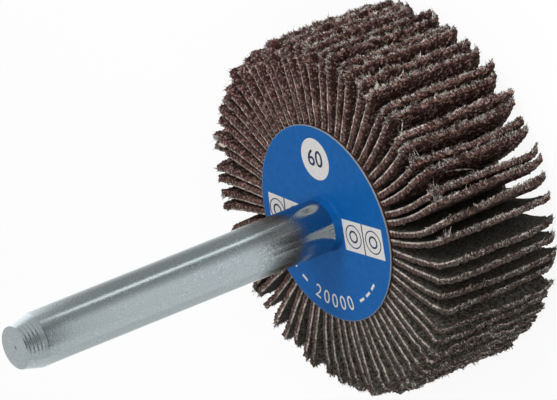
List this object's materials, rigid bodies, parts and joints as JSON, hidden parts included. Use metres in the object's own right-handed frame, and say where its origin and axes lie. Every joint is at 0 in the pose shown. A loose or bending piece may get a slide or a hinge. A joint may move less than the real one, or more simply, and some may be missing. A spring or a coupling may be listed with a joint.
{
  "type": "mounted flap wheel",
  "caption": "Abrasive flap wheel on a plain round shank: a ring of cloth flaps held by a cast core between two card discs.",
  "frame": {"origin": "middle of the back disc's outer face, on which the wheel stands", "axes": "+Z along the wheel's axis, towards the shank's free end; the picture was taken from the -Y side, from above"},
  "size_m": [0.04, 0.04, 0.0578],
  "materials": {
    "steel_shank": "zinc plated, fine speckle",
    "resin": "cast resin",
    "sealing_bead": "clear set resin over the blue card",
    "label_card": "printed card, satin",
    "plain_card": "bare fibre card",
    "abrasive_cloth": "coated cloth, coarse brown grain on one side"
  },
  "bodies": {
    "root": {"shank": "steel_shank", "resin_core": "resin", "label_disc": "label_card", "resin_bead": "sealing_bead", "back_disc": "plain_card", "flap_pair_01": "abrasive_cloth", "flap_pair_02": "abrasive_cloth", "flap_pair_03": "abrasive_cloth", "flap_pair_04": "abrasive_cloth", "flap_pair_05": "abrasive_cloth", "flap_pair_06": "abrasive_cloth", "flap_pair_07": "abrasive_cloth", "flap_pair_08": "abrasive_cloth", "flap_pair_09": "abrasive_cloth", "flap_pair_10": "abrasive_cloth", "flap_pair_11": "abrasive_cloth", "flap_pair_12": "abrasive_cloth", "flap_pair_13": "abrasive_cloth", "flap_pair_14": "abrasive_cloth", "flap_pair_15": "abrasive_cloth", "flap_pair_16": "abrasive_cloth", "flap_pair_17": "abrasive_cloth", "flap_pair_18": "abrasive_cloth", "flap_pair_19": "abrasive_cloth", "flap_pair_20": "abrasive_cloth", "flap_pair_21": "abrasive_cloth", "flap_pair_22": "abrasive_cloth", "flap_pair_23": "abrasive_cloth", "flap_pair_24": "abrasive_cloth", "flap_pair_25": "abrasive_cloth", "flap_pair_26": "abrasive_cloth", "flap_pair_27": "abrasive_cloth", "flap_pair_28": "abrasive_cloth", "flap_pair_29": "abrasive_cloth", "flap_pair_30": "abrasive_cloth", "flap_pair_31": "abrasive_cloth", "flap_pair_32": "abrasive_cloth", "flap_pair_33": "abrasive_cloth", "flap_pair_34": "abrasive_cloth"}
  },
  "joints": []
}
